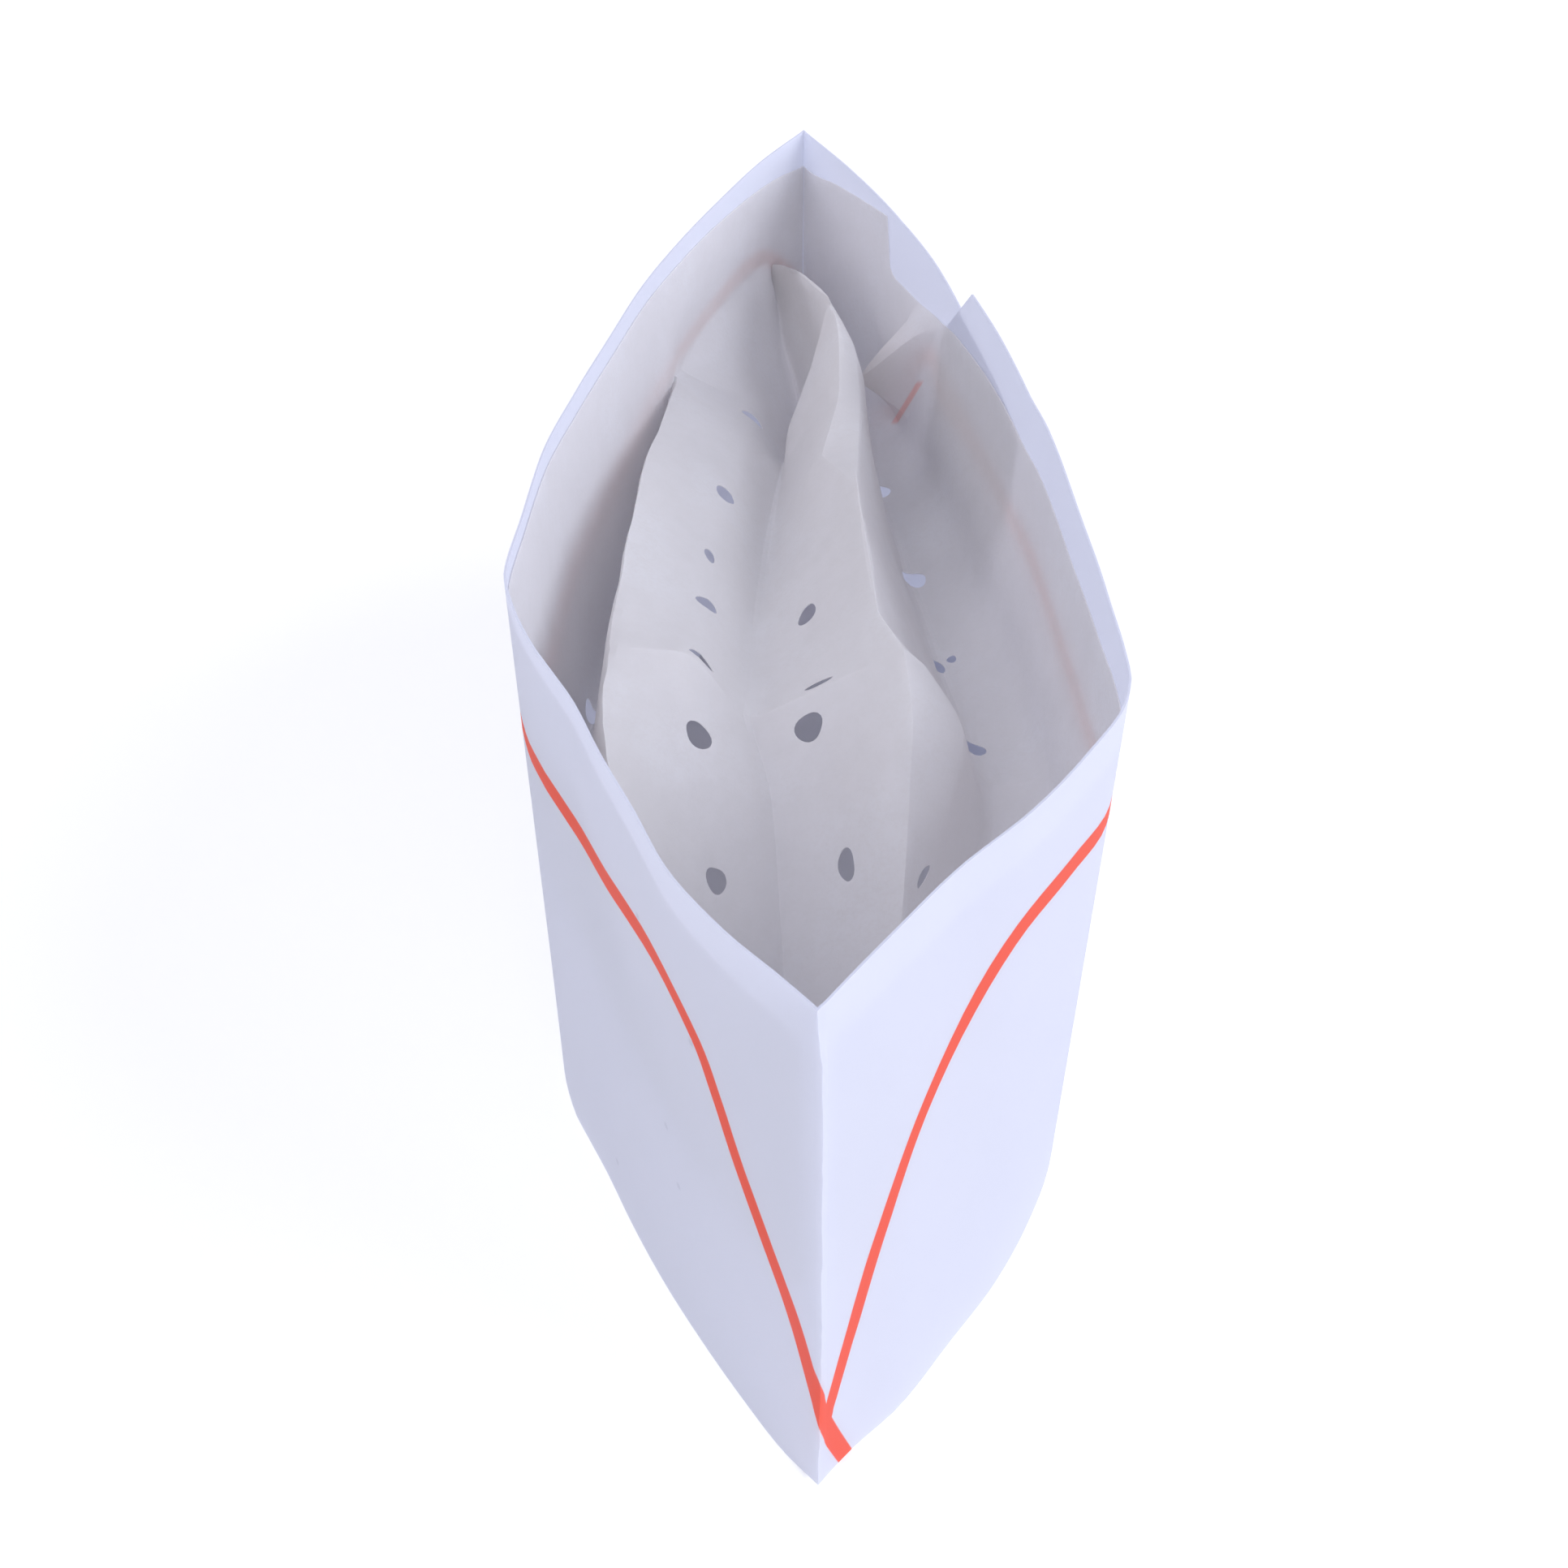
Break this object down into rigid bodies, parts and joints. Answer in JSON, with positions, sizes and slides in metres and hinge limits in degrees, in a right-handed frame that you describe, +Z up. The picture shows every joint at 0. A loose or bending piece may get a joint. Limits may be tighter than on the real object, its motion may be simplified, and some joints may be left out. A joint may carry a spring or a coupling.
{
  "type": "paper chef hat",
  "caption": "Folding paper kitchen hat: an upright white paper band, pointed at front and back, printed with a red line, with a pleated and vented tissue crown tucked inside.",
  "frame": {"origin": "centre of the hat's length and width, on the surface that the band's rim stands on", "axes": "+Z up, -Y towards the front fold where the printed line forks, +Y towards the back fold, +X the side with the band's glued overlap"},
  "size_m": [0.094, 0.262, 0.104],
  "materials": {
    "white_paper": "smooth uncoated white paper with a slight cool tint and a printed red-orange line",
    "white_tissue": "thin matt tissue paper, slightly translucent, with cloudy fibres and creases"
  },
  "bodies": {
    "root": {"paper_band": "white_paper", "tissue_crown": "white_tissue"}
  },
  "joints": []
}
